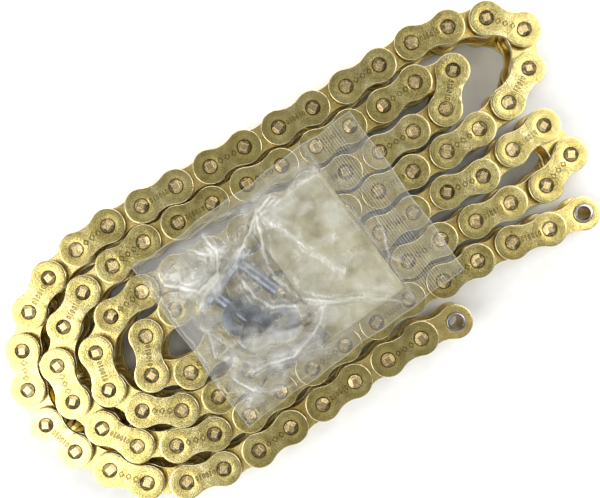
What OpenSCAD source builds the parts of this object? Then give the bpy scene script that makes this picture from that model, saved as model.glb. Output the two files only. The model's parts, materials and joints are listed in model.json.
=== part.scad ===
// Roller chain for a motorcycle's final drive, lying on its side in a folded coil, with its connecting
// link in a small film bag on top. Links are counted from the lower free end. Even links are inner links,
// with bushes, rollers and sealing rings, and odd links are outer links, with two pins. Both free ends are
// inner links, open and without rings at their last bush. A few links at each free end are separate moving bodies; the rest is the coil.

/* [Chain] */
// Distance between neighbouring pins
pitch = 15.875; // [15.8:0.025:15.95]
// Width between the inner plates
inner_width = 9.53; // [9.5:0.01:9.6]
// Number of links laid out
link_count = 113; // [113:1:113]

/* [Plates] */
// Radius of a plate's round ends
plate_r = 7.1; // [6.6:0.05:7.1]
// Half the height of a plate at its waist
waist_half = 5.25; // [4.8:0.05:5.25]
// Radius of the hollow at the waist
waist_r = 10.5; // [10.2:0.1:11]
// Thickness of an outer plate
outer_t = 2.0; // [1.8:0.1:2.1]
// Thickness of an inner plate
inner_t = 2.2; // [2:0.1:2.3]

/* [Pins and bushes] */
// Pin diameter
pin_d = 5.4; // [5.2:0.05:5.4]
// Whole length of a pin, staked ends included
pin_len = 22.6; // [22.4:0.1:23]
// Side of the square staked boss on each end of a pin
stake_side = 3.4; // [3:0.1:3.6]
// Height of the staked boss
stake_h = 0.5; // [0.3:0.1:0.6]
// Bore of a bush
bush_bore = 5.5; // [5.5:0.01:5.55]
// Outer diameter of a bush
bush_d = 7.5; // [7.3:0.05:7.5]
// How far a bush stands out of its inner plate
bush_out = 1.1; // [0.9:0.05:1.15]
// Bore of a roller
roller_bore = 7.6; // [7.6:0.01:7.65]
// Outer diameter of a roller
roller_d = 10.16; // [10:0.02:10.2]
// Length of a roller
roller_len = 9.3; // [9.2:0.05:9.35]
// Section diameter of a sealing ring
ring_t = 1.2; // [1.1:0.05:1.2]
// Inner diameter of a sealing ring
ring_bore = 7.6; // [7.55:0.05:7.8]

/* [Bag and connecting link] */
// Length of the bag as it lies
bag_len = 109; // [106:1:112]
// Width of the bag as it lies
bag_w = 80; // [78:1:82]
// Thickness of the bag's film wall
film_t = 0.3; // [0.25:0.05:0.35]
// Width of the sealed edge round the bag
bag_seal = 4; // [3:0.5:5]
// Gap between the coil and the bag
bag_gap = 0.3; // [0.2:0.1:0.5]
// Thickness of the grease sachet
sachet_t = 3; // [2:0.5:3]

/* [Hidden] */
// Stack of one joint, measured from the bottom end of a pin
mid_z = pin_len / 2;
gap_side = 1.3;                                          // room for a sealing ring between the plates
inner_low = mid_z - inner_width / 2 - inner_t;
inner_high = mid_z + inner_width / 2;
outer_low = inner_low - gap_side - outer_t;
outer_high = inner_high + inner_t + gap_side;
ring_low = inner_low - gap_side / 2;
ring_high = inner_high + inner_t + gap_side / 2;
ring_r = (ring_bore + ring_t) / 2;

// Places that the chain lies through, as [pin, x, y] in whole millimetres. Pins between two places share
// out the straight line from one to the other.
GUIDE = [
    [0, 39, -58], [1, 23, -56], [3, -8, -57], [6, -56, -61], [7, -72, -60],                 // lowest row
    [8, -87, -57], [9, -101, -49], [10, -112, -36], [11, -119, -24], [12, -124, -8],        // outer bend
    [13, -123, 7], [14, -117, 22], [15, -106, 35], [16, -93, 42], [17, -78, 46],
    [18, -60, 48], [24, 35, 46], [26, 67, 47], [27, 83, 48],                                // highest row
    [28, 96, 46], [29, 112, 41], [30, 124, 28], [31, 117, 16], [32, 102, 7], [33, 86, 4],   // first fold
    [34, 70, 3], [38, 8, 4], [41, -39, 2], [42, -55, 5],                                    // fourth row
    [43, -71, 2], [44, -77, -12], [45, -63, -20],                                           // inner bend
    [46, -48, -16], [47, -32, -11], [52, 47, -11], [53, 62, -11], [54, 79, -13],            // fifth row
    [55, 94, -10], [56, 111, -8], [57, 113, -24], [58, 99, -29],                            // lower fold
    [59, 83, -28], [61, 51, -26], [64, 2, -28], [65, -13, -25], [66, -29, -25],             // sixth row
    [67, -44, -32], [68, -58, -34], [69, -75, -31], [70, -88, -23], [71, -95, -9],          // second bend
    [72, -92, 6], [73, -79, 16], [74, -64, 18],
    [75, -48, 18], [76, -32, 17], [79, 17, 19], [80, 33, 17], [82, 65, 17],                 // third row
    [83, 80, 18], [84, 90, 30], [85, 73, 34],                                               // tight fold
    [86, 58, 32], [88, 26, 32], [91, -22, 34], [93, -54, 35],                               // second row
    [94, -69, 33], [95, -84, 30], [96, -98, 22], [97, -108, 10], [98, -110, -6],            // third bend
    [99, -105, -22], [100, -97, -34], [101, -82, -43], [102, -68, -46],
    [103, -52, -47], [104, -36, -45], [108, 27, -40], [109, 43, -41], [110, 59, -41],       // seventh row
    [111, 75, -42], [112, 90, -45], [113, 106, -47]
];

// Place aimed at for pin k, and a step of one pitch from one point towards another
function aim(k, i = 0) =
    k > GUIDE[i + 1][0]
    ? aim(k, i + 1)
    : let (a = GUIDE[i], b = GUIDE[i + 1], part = (k - a[0]) / (b[0] - a[0]))
      [a[1] + part * (b[1] - a[1]), a[2] + part * (b[2] - a[2])];
function step(from, to) = from + pitch * (to - from) / norm(to - from);

// Pin centres: each pin is one pitch from the last, and the whole is centred on the origin
laid = [
    for (k = 0, at = aim(0); k <= link_count; k = k + 1, at = k > link_count ? at : step(at, aim(k))) at
];
laid_x = [for (at = laid) at[0]];
laid_y = [for (at = laid) at[1]];
middle = [(min(laid_x) + max(laid_x)) / 2, (min(laid_y) + max(laid_y)) / 2];
PIN = [for (at = laid) at - middle];
function link_angle(k) = atan2(PIN[k + 1][1] - PIN[k][1], PIN[k + 1][0] - PIN[k][0]);

// The coil's first and last link; the links before and after it move
coil_first = 8;
coil_last = 108;
COIL_INNER = [for (k = [coil_first : 2 : coil_last]) k];
COIL_OUTER = [for (k = [coil_first + 1 : 2 : coil_last - 1]) k];

// Bag and what is in it: heights from the top of the pins, places in the bag's own frame
bag_at = [-4, 0];
bag_turn = 5;
bag_z = pin_len + bag_gap;
floor_z = bag_z + film_t + 0.1;
kit_link_at = [-25, 14.5];
kit_link_turn = 17;
kit_plate_at = [-23, -7];
kit_plate_turn = -41;
kit_ring_at = [-29, -10];
kit_pin_z = floor_z + plate_r;
kit_plate_z = kit_pin_z + pin_d / 2 + 0.1;
kit_ring_z = kit_plate_z + outer_t + ring_t / 2 + 0.1;
bag_high = plate_r * 2 + 2 * film_t + 0.4;
sachet_at = [12, -2];
sachet_size = [36, 58];
bag_flat_h = sachet_t + 2 * film_t + 0.6;

$fn = 64;

// Puts a shape at pin k, or half way along link k and in line with it
module at_pin(k, z) translate([PIN[k][0], PIN[k][1], z]) children();
module at_link(k, z)
    translate([(PIN[k][0] + PIN[k + 1][0]) / 2, (PIN[k][1] + PIN[k + 1][1]) / 2, z])
        rotate([0, 0, link_angle(k)]) children();
module in_bag(at, turn, z)
    translate([bag_at[0], bag_at[1], z]) rotate([0, 0, bag_turn])
        translate([at[0], at[1], 0]) rotate([0, 0, turn]) children();

// One side plate, lying flat: two round ends joined by a hollowed waist, with two holes
module plate(t, hole_d) {
    waist_block_half = plate_r - 0.6;
    difference() {
        union() {
            for (s = [-1, 1]) translate([s * pitch / 2, 0, 0]) cylinder(h = t, r = plate_r);
            difference() {
                translate([-pitch / 2, -waist_block_half, 0]) cube([pitch, 2 * waist_block_half, t]);
                for (s = [-1, 1])
                    translate([0, s * (waist_half + waist_r), -1]) cylinder(h = t + 2, r = waist_r);
            }
        }
        for (s = [-1, 1]) translate([s * pitch / 2, 0, -1]) cylinder(h = t + 2, d = hole_d);
    }
}

// One pin, standing up, with a square staked boss on each end
module pin() {
    translate([0, 0, stake_h]) cylinder(h = pin_len - 2 * stake_h, d = pin_d);
    for (z = [0, pin_len - stake_h - 0.1])
        translate([-stake_side / 2, -stake_side / 2, z]) cube([stake_side, stake_side, stake_h + 0.1]);
}

module tube(h, outside, inside)
    difference() {
        cylinder(h = h, d = outside);
        translate([0, 0, -1]) cylinder(h = h + 2, d = inside);
    }

module ring() rotate_extrude() translate([ring_r, 0]) circle(d = ring_t, $fn = 24);

module outer_plates(links, heights)
    color("#a8964a") for (k = links, z = heights) at_link(k, z) plate(outer_t, pin_d);
module inner_plates(links, heights)
    color("#c4a94e") for (k = links, z = heights) at_link(k, z) plate(inner_t, bush_d);
module pins(links)
    color("#b48a68") for (k = links, end = [0, 1]) at_pin(k + end, 0) pin();
module bushes(links)
    color("#6f6f70") for (k = links, end = [0, 1]) at_pin(k + end, inner_low - bush_out)
        tube(inner_width + 2 * (inner_t + bush_out), bush_d, bush_bore);
module rollers(links, ends = [0, 1])
    color("#c9b25c") for (k = links, end = ends) at_pin(k + end, mid_z - roller_len / 2)
        tube(roller_len, roller_d, roller_bore);
module rings(links, ends = [0, 1])
    color("#1c1c1c") for (k = links, end = ends, z = [ring_low, ring_high]) at_pin(k + end, z) ring();

// Connecting link lying on its side: its plate stands on edge and its pins point along the bag
module on_edge() in_bag(kit_link_at, kit_link_turn, kit_pin_z) rotate([90, 0, 0]) children();
module kit_link_plate() color("#6d7078") on_edge() plate(outer_t, pin_d);
module kit_link_pins()
    color("#5c5d63") on_edge() for (s = [-1, 1]) translate([s * pitch / 2, 0, -0.5])
        cylinder(h = pin_len - 2.5, d = pin_d);
module kit_side_plate()
    color("#7d8188") in_bag(kit_plate_at, kit_plate_turn, kit_plate_z) plate(outer_t, pin_d);
module kit_ring() color("#1c1c1c") in_bag(kit_ring_at, 0, kit_ring_z) ring();
module kit_sachet()
    color("#d9d6b8") in_bag(sachet_at, 0, floor_z)
        hull() for (x = [-1, 1], y = [-1, 1], z = [0, sachet_t - 1])
            translate([x * (sachet_size[0] / 2 - 3), y * (sachet_size[1] / 2 - 3), z])
                cylinder(h = 1, r = 3 - z, $fn = 24);

// The bag is a thin pouch: a low pillow with sealed edges, and a lump over the connecting link. Each shape
// is drawn once for the outside and once, smaller by the film and the seal, for the space inside.
module pillow(less, seal)
    hull() {
        translate([-bag_len / 2 + seal, -bag_w / 2 + seal, less]) cube([bag_len - 2 * seal, bag_w - 2 * seal, 0.4]);
        translate([-bag_len / 2 + 18 + less, -bag_w / 2 + 9 + less, less])
            cube([bag_len - 34 - 2 * less, bag_w - 18 - 2 * less, bag_flat_h - 2 * less]);
    }
module lump(less)
    hull() {
        translate([-53 + 2 * less, -32 + 2 * less, less]) cube([58 - 4 * less, 66 - 4 * less, 0.4]);
        translate([-45 + less, -24 + less, less]) cube([39 - 2 * less, 50 - 2 * less, bag_high - 2 * less]);
    }
module kit_bag()
    color("#dfe0da", 0.5) translate([bag_at[0], bag_at[1], bag_z]) rotate([0, 0, bag_turn])
        difference() {
            union() { pillow(0, 0); lump(0); }
            union() { pillow(film_t, bag_seal); lump(film_t); }
        }

// Every sub-part, by name
outer_plates(COIL_OUTER, [outer_high]);  // coil_outer_plates_upper
outer_plates(COIL_OUTER, [outer_low]);  // coil_outer_plates_lower
inner_plates(COIL_INNER, [inner_high]);  // coil_inner_plates_upper
inner_plates(COIL_INNER, [inner_low]);  // coil_inner_plates_lower
pins(COIL_OUTER);  // coil_pins
bushes(COIL_INNER);  // coil_bushes
rollers(COIL_INNER);  // coil_rollers
rings(COIL_INNER);  // coil_rings
outer_plates([7], [outer_low, outer_high]);  // link_7_plates
pins([7]);  // link_7_pins
outer_plates([5], [outer_low, outer_high]);  // link_5_plates
pins([5]);  // link_5_pins
outer_plates([3], [outer_low, outer_high]);  // link_3_plates
pins([3]);  // link_3_pins
outer_plates([1], [outer_low, outer_high]);  // link_1_plates
pins([1]);  // link_1_pins
outer_plates([109], [outer_low, outer_high]);  // link_109_plates
pins([109]);  // link_109_pins
outer_plates([111], [outer_low, outer_high]);  // link_111_plates
pins([111]);  // link_111_pins
inner_plates([6], [inner_low, inner_high]);  // link_6_plates
bushes([6]);  // link_6_bushes
rings([6]);  // link_6_rings
rollers([6], [0]);  // link_6_roller_a
rollers([6], [1]);  // link_6_roller_b
inner_plates([4], [inner_low, inner_high]);  // link_4_plates
bushes([4]);  // link_4_bushes
rings([4]);  // link_4_rings
rollers([4], [0]);  // link_4_roller_a
rollers([4], [1]);  // link_4_roller_b
inner_plates([2], [inner_low, inner_high]);  // link_2_plates
bushes([2]);  // link_2_bushes
rings([2]);  // link_2_rings
rollers([2], [0]);  // link_2_roller_a
rollers([2], [1]);  // link_2_roller_b
inner_plates([0], [inner_low, inner_high]);  // link_0_plates
bushes([0]);  // link_0_bushes
rings([0], [1]);  // link_0_rings
rollers([0], [0]);  // link_0_roller_a
rollers([0], [1]);  // link_0_roller_b
inner_plates([110], [inner_low, inner_high]);  // link_110_plates
bushes([110]);  // link_110_bushes
rings([110]);  // link_110_rings
rollers([110], [0]);  // link_110_roller_a
rollers([110], [1]);  // link_110_roller_b
inner_plates([112], [inner_low, inner_high]);  // link_112_plates
bushes([112]);  // link_112_bushes
rings([112], [0]);  // link_112_rings
rollers([112], [0]);  // link_112_roller_a
rollers([112], [1]);  // link_112_roller_b
kit_bag();
kit_sachet();
kit_link_plate();
kit_link_pins();
kit_side_plate();
kit_ring();
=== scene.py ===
import functools
import json
import math
import random

import bmesh
import bpy
import numpy as np
from mathutils import Matrix, Vector, geometry

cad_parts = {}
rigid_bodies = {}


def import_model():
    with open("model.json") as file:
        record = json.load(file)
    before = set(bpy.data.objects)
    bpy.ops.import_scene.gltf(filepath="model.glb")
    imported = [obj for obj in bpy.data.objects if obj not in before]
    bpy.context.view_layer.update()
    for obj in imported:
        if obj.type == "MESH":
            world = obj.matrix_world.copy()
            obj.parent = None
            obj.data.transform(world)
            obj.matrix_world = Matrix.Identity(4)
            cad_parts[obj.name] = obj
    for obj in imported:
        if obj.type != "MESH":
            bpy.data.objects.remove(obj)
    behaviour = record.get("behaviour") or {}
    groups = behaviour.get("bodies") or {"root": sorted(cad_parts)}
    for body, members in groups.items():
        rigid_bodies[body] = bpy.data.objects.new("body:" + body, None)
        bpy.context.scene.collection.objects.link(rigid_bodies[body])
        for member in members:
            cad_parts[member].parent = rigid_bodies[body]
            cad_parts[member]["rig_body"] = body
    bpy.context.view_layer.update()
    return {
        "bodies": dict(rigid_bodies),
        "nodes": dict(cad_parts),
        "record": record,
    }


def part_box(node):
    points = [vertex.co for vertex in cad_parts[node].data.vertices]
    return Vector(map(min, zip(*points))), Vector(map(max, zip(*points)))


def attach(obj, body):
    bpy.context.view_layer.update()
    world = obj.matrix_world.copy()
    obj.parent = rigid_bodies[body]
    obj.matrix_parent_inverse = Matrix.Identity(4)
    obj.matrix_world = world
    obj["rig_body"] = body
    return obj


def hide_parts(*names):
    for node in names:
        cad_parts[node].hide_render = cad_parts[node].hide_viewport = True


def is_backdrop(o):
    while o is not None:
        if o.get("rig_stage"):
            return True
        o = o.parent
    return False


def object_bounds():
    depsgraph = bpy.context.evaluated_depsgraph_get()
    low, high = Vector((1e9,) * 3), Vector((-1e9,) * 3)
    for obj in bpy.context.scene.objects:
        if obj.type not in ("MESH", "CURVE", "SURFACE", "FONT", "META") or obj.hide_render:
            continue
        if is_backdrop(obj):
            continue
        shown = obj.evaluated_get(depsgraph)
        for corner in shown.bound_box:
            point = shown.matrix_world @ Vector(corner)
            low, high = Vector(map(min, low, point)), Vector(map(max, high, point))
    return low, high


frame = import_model()
mm = 0.001
weldReach = 0.01 * mm
fullTurn = 2 * math.pi
print("frame loaded:", len(frame["nodes"]), "nodes")


def boxMiddle(node):
    low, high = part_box(node)
    return (low + high) / 2


def spanZ(node):  # in millimetres
    low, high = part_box(node)
    return low.z / mm, high.z / mm


def solidCentres(node):  # middle of every separate solid in a node, seen from above
    bm = bmesh.new()
    bm.from_mesh(frame["nodes"][node].data)
    bmesh.ops.remove_doubles(bm, verts=bm.verts, dist=weldReach)
    waiting = set(bm.verts)
    centres = []
    while waiting:
        found = [waiting.pop()]
        for vert in found:
            for edge in vert.link_edges:
                other = edge.other_vert(vert)
                if other in waiting:
                    waiting.remove(other)
                    found.append(other)
        xs = [v.co.x for v in found]
        ys = [v.co.y for v in found]
        centres.append(Vector(((min(xs) + max(xs)) / 2, (min(ys) + max(ys)) / 2)))
    bm.free()
    return centres


# Pins in order, walked from the lower free end: each pin is as far past its link's middle as the last one was
# before it. Even links are inner links and odd ones are outer links.
movingLinks = [int(b.split("_")[1]) for b in frame["bodies"] if b.startswith("link_") and "roller" not in b]
linkMiddles = [solidCentres("coil_inner_plates_upper"), solidCentres("coil_outer_plates_upper")]
for k in movingLinks:
    linkMiddles[k % 2].append(boxMiddle(f"link_{k}_plates").xy)
linkCount = len(linkMiddles[0]) + len(linkMiddles[1])
pinPlaces = [Vector(m["pos_m"]).xy for m in frame["record"]["mounts"] if m["name"] == "lower_end_bore"]
halfPitch = min((c - pinPlaces[0]).length for c in linkMiddles[0])
for k in range(linkCount):
    left = linkMiddles[k % 2]
    nearest = min(left, key=lambda c: abs((c - pinPlaces[-1]).length - halfPitch))
    left.remove(nearest)
    pinPlaces.append(2 * nearest - pinPlaces[-1])
print("chain walked:", linkCount, "links, pitch", round(2 * halfPitch / mm, 3), "mm")

coilInner = [k for k in range(0, linkCount, 2) if k not in movingLinks]
coilOuter = [k for k in range(1, linkCount, 2) if k not in movingLinks]


def atLink(k):
    along = pinPlaces[k + 1] - pinPlaces[k]
    middle = (pinPlaces[k + 1] + pinPlaces[k]) / 2
    return Matrix.Translation((*middle, 0)) @ Matrix.Rotation(math.atan2(along.y, along.x), 4, "Z")


def atPin(k, turn=0.0):
    return Matrix.Translation((*pinPlaces[k], 0)) @ Matrix.Rotation(turn, 4, "Z")


def linear(hexColour):
    channels = [int(hexColour[i:i + 2], 16) / 255 for i in (1, 3, 5)]
    return [c / 12.92 if c <= 0.04045 else ((c + 0.055) / 1.055) ** 2.4 for c in channels] + [1]


pureWhite = linear("#ffffff")


def setInputs(node, inputs):  # to a constant, a socket, or a node's first output
    for name, value in inputs.items():
        if isinstance(value, bpy.types.Node):
            value = value.outputs[0]
        if isinstance(value, bpy.types.NodeSocket):
            node.id_data.links.new(value, node.inputs[name])
        else:
            node.inputs[name].default_value = value


def addNode(tree, kind, settings, inputs):
    node = tree.nodes.new("ShaderNode" + kind)
    for name, value in settings.items():
        if name == "stops":
            ramp = node.color_ramp
            while len(ramp.elements) < len(value):
                ramp.elements.new(0.5)
            for element, (place, colour) in zip(ramp.elements, value):
                element.position = place
                element.color = colour
        else:
            setattr(node, name, value)
    setInputs(node, inputs)
    return node


def toneStops(look, names):  # a colour ramp's stops, from a look's own places and colours
    return [(place, linear(look[name])) for place, name in zip(look["tonesAt"], names)]


def newMaterial(name):
    material = bpy.data.materials.new(name)
    material.use_nodes = True
    tree = material.node_tree
    return material, functools.partial(addNode, tree), tree.nodes["Principled BSDF"]


multiply = {"operation": "MULTIPLY"}
clamped = {"operation": "MULTIPLY", "use_clamp": True}
multiplyAdd = {"operation": "MULTIPLY_ADD"}
plus = {"operation": "ADD"}
seeded = {"noise_dimensions": "4D"}
mixColours = {"data_type": "RGBA"}
darken = {"data_type": "RGBA", "blend_type": "MULTIPLY"}
noiseLow, noiseHigh = 0.3, 0.7  # nearly all of a noise texture's values lie between these
seedSpread = 60.0  # how far apart two links' noise is taken


# Every metal or rubber piece carries "spot", a vertex's place in its own link in millimetres, "chance", one
# number for each copy, and a third number for how rubbed (up to 1; on plate edges partly a painted highlight) or
# filled with oil (down to -1) a vertex is
def spotNodes(add):
    spot = add("Attribute", {"attribute_name": "spot"}, {}).outputs["Vector"]
    chance = add("Attribute", {"attribute_name": "chance"}, {}).outputs["Fac"]
    wear = add("Attribute", {"attribute_name": "wear"}, {}).outputs["Fac"]
    return spot, chance, wear, add("Math", multiply, {0: chance, 1: seedSpread})


def finishMetal(add, shader, look, colour, clouds, relief, depth):
    rough = add("MapRange", {}, {
        "Value": clouds, "From Min": noiseLow, "From Max": noiseHigh,
        "To Min": look["smooth"], "To Max": look["rough"],
    })
    bump = add("Bump", {}, {"Height": relief, "Distance": depth * mm, "Strength": 1.0})
    setInputs(shader, {"Base Color": colour.outputs[2], "Roughness": rough, "Normal": bump, "Metallic": 1.0})


def makeChromateZinc(name, look):
    # Yellow-chromate zinc plating over blanked and tumbled steel: satin gold with cloudy drifts of olive and
    # straw, a fine pitting, paler edges that are partly worn and partly a painted highlight, oil held in the
    # marks, and a dark rim round each pin that is partly oil and partly painted shade
    material, add, shader = newMaterial(name)
    spot, chance, wear, seed = spotNodes(add)
    axes = add("SeparateXYZ", {}, {"Vector": spot})
    sideways = add("Math", {"operation": "ABSOLUTE"}, {0: axes.outputs["X"]})
    fromPin = add("Math", {"operation": "SUBTRACT"}, {0: sideways, 1: halfPitch / mm})
    flat = add("CombineXYZ", {}, {"X": fromPin, "Y": axes.outputs["Y"]})
    pinReach = add("VectorMath", {"operation": "LENGTH"}, {0: flat}).outputs["Value"]
    stretch = (look["brushStretch"], 1.0, 1.0)
    drawn = add("Mapping", {}, {"Vector": spot, "Scale": stretch})
    clouds, pits, brush = (
        add("TexNoise", seeded, {
            "Vector": place, "W": seed, "Scale": 1 / look[size], "Detail": detail, "Roughness": rough,
        })
        for place, size, detail, rough in (
            (spot, "cloudSize", 4.0, 0.62), (spot, "pitSize", 3.0, 0.7), (drawn, "brushWidth", 2.0, 0.5),
        )
    )
    perLink = add("Math", multiply, {0: chance, 1: look["linkToLink"]})
    tone = add("Math", plus, {0: perLink, 1: clouds})
    stops = toneStops(look, ("olive", "gold", "straw"))
    body = add("ValToRGB", {"stops": stops}, {"Fac": tone})
    # Round the pin: a dark rim, partly oil and partly painted shade in the hole's chamfer, the pale coined ring
    # out to coinedTo, then a darker band that fades away
    span = look["coinedTo"] * 2
    share = add("Math", {"operation": "DIVIDE"}, {0: pinReach, 1: span})
    places = [look["oilAndShadeTo"] / span - look["oilAndShadeSoft"], look["oilAndShadeTo"] / span + look["oilAndShadeSoft"], *look["bandAt"]]
    rings = [linear(look[name]) for name in ("oilAndShade", "coined", "coined", "band", "band")] + [pureWhite]
    coining = add("ValToRGB", {"stops": list(zip(places, rings))}, {"Fac": share})
    coined = add("Mix", darken, {0: 1.0, 6: body, 7: coining})
    stops = list(zip(look["pitAt"], (linear(look["pitDark"]), pureWhite)))
    speck = add("ValToRGB", {"stops": stops}, {"Fac": pits})
    colour = add("Mix", darken, {0: look["pitStain"], 6: coined.outputs[2], 7: speck})
    # The edges are painted paler, partly as worn plating and partly as a painted highlight along the rounded
    # edge; the marks are painted with oil
    for share, paint in ((look["edgeWearAndSheen"], look["edge"]), (-look["markOil"], look["mark"])):
        amount = add("Math", clamped, {0: wear, 1: share})
        colour = add("Mix", mixColours, {0: amount, 6: colour.outputs[2], 7: linear(paint)})
    grain = add("Math", multiplyAdd, {0: brush, 1: look["brushDepth"], 2: pits})
    finishMetal(add, shader, look, colour, clouds, grain, look["pitDepth"])
    return material


outerPlateLook = {  # sizes in millimetres
    "olive": "#c9b877", "gold": "#dfd08b", "straw": "#f3e6a9", "tonesAt": (0.34, 0.56, 0.8),
    # the dark rim round the hole is partly oil and partly painted shade where the plate meets the pin
    "oilAndShade": "#6a5a3c", "oilAndShadeTo": 3.1, "oilAndShadeSoft": 0.02,
    "coined": "#fffbe8", "coinedTo": 4.9,
    "band": "#ece9df",
    "bandAt": (0.44, 0.53, 0.68, 0.8),  # begins, is full, fades, is gone: in shares of twice coinedTo
    # edge: paler paint on the rounded edge, partly wear and partly a painted highlight
    "edge": "#fbf3cc", "edgeWearAndSheen": 0.6, "mark": "#5c4a22", "markOil": 0.6,
    "cloudSize": 6.0, "linkToLink": 0.2,
    "pitSize": 0.45,  # the real grit is near 0.2 mm, drawn coarser so that it shows
    "pitDepth": 0.04, "pitStain": 0.7, "pitDark": "#8f8a70", "pitAt": (0.36, 0.52),
    "brushWidth": 0.3, "brushDepth": 0.5, "brushStretch": 0.06,
    "smooth": 0.14, "rough": 0.24,
}
innerPlateLook = dict(
    outerPlateLook, olive="#c6b166", gold="#e1c97c", straw="#f2de98", coined="#ffffff", band="#ffffff",
    # on the inner plate the dark rim is partly oil and partly a painted shadow round the bush that stands proud
    oilAndShade="#8a7a50", oilAndShadeTo=3.85, pitStain=0.4, smooth=0.18, rough=0.28,
)


def makeSteel(name, look):
    # Hardened steel, ground and lightly oiled: a plain metal, tinted by heat or plating, with faint drifts of
    # tone and shallow tool marks; struck or worn faces are marked by "wear"
    material, add, shader = newMaterial(name)
    spot, chance, wear, seed = spotNodes(add)
    clouds, marks = (
        add("TexNoise", seeded, {"Vector": spot, "W": seed, "Scale": 1 / look[size], "Detail": detail})
        for size, detail in (("cloudSize", 3.0), ("markSize", 2.0))
    )
    perPart = add("Math", multiply, {0: chance, 1: look["partToPart"]})
    tone = add("Math", plus, {0: perPart, 1: clouds})
    stops = toneStops(look, ("dark", "middle", "light"))
    colour = add("ValToRGB", {"stops": stops}, {"Fac": tone})
    struck = add("Mix", mixColours, {0: wear, 6: colour, 7: linear(look["struck"])})
    finishMetal(add, shader, look, struck, clouds, marks, look["markDepth"])
    return material


pinLook = {
    "dark": "#5a4c33", "middle": "#806e4c", "light": "#b0a074", "tonesAt": (0.35, 0.6, 0.85),
    "struck": "#cbb684", "cloudSize": 1.3, "partToPart": 0.3, "smooth": 0.16, "rough": 0.32,
    "markSize": 0.45, "markDepth": 0.07,
}
bushLook = dict(
    pinLook, dark="#838388", middle="#a9a9ae", light="#cfcfd4", struck="#b8962c", cloudSize=3.0,
    markDepth=0.02,
)
rollerLook = dict(
    pinLook, dark="#6b5d40", middle="#8a7a56", light="#b3a278", struck="#b3a278", cloudSize=4.0,
    markDepth=0.02,
)
kitSteelLook = dict(
    pinLook, dark="#3d424d", middle="#646b78", light="#969dab", struck="#969dab", cloudSize=5.0,
    markDepth=0.03, rough=0.45,
)


def makeNitrile(name, look):
    # Moulded nitrile rubber: near black, satin, greasy
    material, add, shader = newMaterial(name)
    spot, _, _, seed = spotNodes(add)
    bloom = add(
        "TexNoise", seeded, {"Vector": spot, "W": seed, "Scale": 1 / look["bloomSize"]},
    )
    stops = toneStops(look, ("black", "grey"))
    colour = add("ValToRGB", {"stops": stops}, {"Fac": bloom})
    rough = add(
        "MapRange", {}, {"Value": bloom, "To Min": look["smooth"], "To Max": look["rough"]},
    )
    setInputs(shader, {"Base Color": colour, "Roughness": rough, "IOR": 1.52})
    return material


rubberLook = {
    "black": "#121210", "grey": "#24231f", "tonesAt": (0.3, 0.75), "bloomSize": 5 / 3,
    "smooth": 0.3, "rough": 0.6,
}

outerZinc = makeChromateZinc("yellowChromateOuter", outerPlateLook)
innerZinc = makeChromateZinc("yellowChromateInner", innerPlateLook)
stakedSteel = makeSteel("stakedPinSteel", pinLook)
groundSteel = makeSteel("groundBushSteel", bushLook)
rollerSteel = makeSteel("platedRollerSteel", rollerLook)
oiledSteel = makeSteel("oiledKitSteel", kitSteelLook)
nitrile = makeNitrile("nitrileRubber", rubberLook)
print("metal and rubber materials made")


def addAttribute(mesh, name, values):  # one or three numbers for each vertex
    kind, field = ("FLOAT", "value") if len(values) == len(mesh.vertices) else ("FLOAT_VECTOR", "vector")
    mesh.attributes.new(name, kind, "POINT").data.foreach_set(field, values)


def addObject(name, data):
    made = bpy.data.objects.new(name, data)
    bpy.context.scene.collection.objects.link(made)
    return made


class Shape:  # a unit mesh in millimetres, centred on its own pin or link
    def __init__(self):
        self.verts = []
        self.faces = []
        self.wear = {}

    def addRing(self, points, wear=0.0):
        first = len(self.verts)
        self.verts.extend(points)
        ring = list(range(first, len(self.verts)))
        self.wear.update((i, wear) for i in ring)
        return ring

    def bridge(self, ringA, ringB):
        n = len(ringA)
        for i in range(n):
            self.faces.append((ringA[i], ringA[(i + 1) % n], ringB[(i + 1) % n], ringB[i]))

    def merge(self, other):
        first = len(self.verts)
        self.verts.extend(other.verts)
        self.wear.update((i + first, w) for i, w in other.wear.items())
        self.faces.extend(tuple(i + first for i in f) for f in other.faces)


def joinCopies(name, copies, material, sharpAngle=32):  # copies are (shape, matrix in metres, chance)
    verts, spots, chances, wears, faces = [], [], [], [], []
    for shape, matrix, chance in copies:
        first = len(verts)
        for i, v in enumerate(shape.verts):
            verts.append(matrix @ (Vector(v) * mm))
            spots.extend(v)
            chances.append(chance)
            wears.append(shape.wear.get(i, 0.0))
        faces.extend([i + first for i in f] for f in shape.faces)
    mesh = bpy.data.meshes.new(name)
    mesh.from_pydata(verts, [], faces)
    addAttribute(mesh, "spot", spots)
    addAttribute(mesh, "chance", chances)
    addAttribute(mesh, "wear", wears)
    mesh.shade_smooth()
    mesh.set_sharp_from_angle(angle=math.radians(sharpAngle))
    mesh.materials.append(material)
    return addObject(name, mesh)


def installPiece(piece, node):
    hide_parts(node)
    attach(piece, frame["nodes"][node]["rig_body"])


plateShape = {  # millimetres
    "edgeRound": 0.3,  # blanked and tumbled edge
    "lowRound": 0.8,  # share of that on the lower edge
    "edgeSteps": 4,
    "endSteps": 30,
    "waistSteps": 8,
    "holeSteps": 32,
    "holeChamfer": 0.25,
    "holePlay": 0.02,
    "dishDepth": 0.06,  # coined ring round each pin
    "dishTo": 4.9,
    "dishRings": (3.5, 4.1, 4.7, 5.5, 6.2),
    "dishSteps": 26,
    "dishClear": 0.6,  # room kept round the hole
    "rimClear": 0.35,  # and along the plate's edge
    "markTall": 2.25,
    "markLine": 0.3,
    "markDepth": 0.13,  # a shallow groove whose walls catch the side light
    "markWall": 0.16,  # how far its walls slope
    "markArea": (4.6, 1.4),
    "lozengeStep": 3.1,
    "lozengeWide": 2.3,
    "lozengeGrow": 1.2,
    "signStep": 1.45,
    "signWide": 1.1,
}


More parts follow.
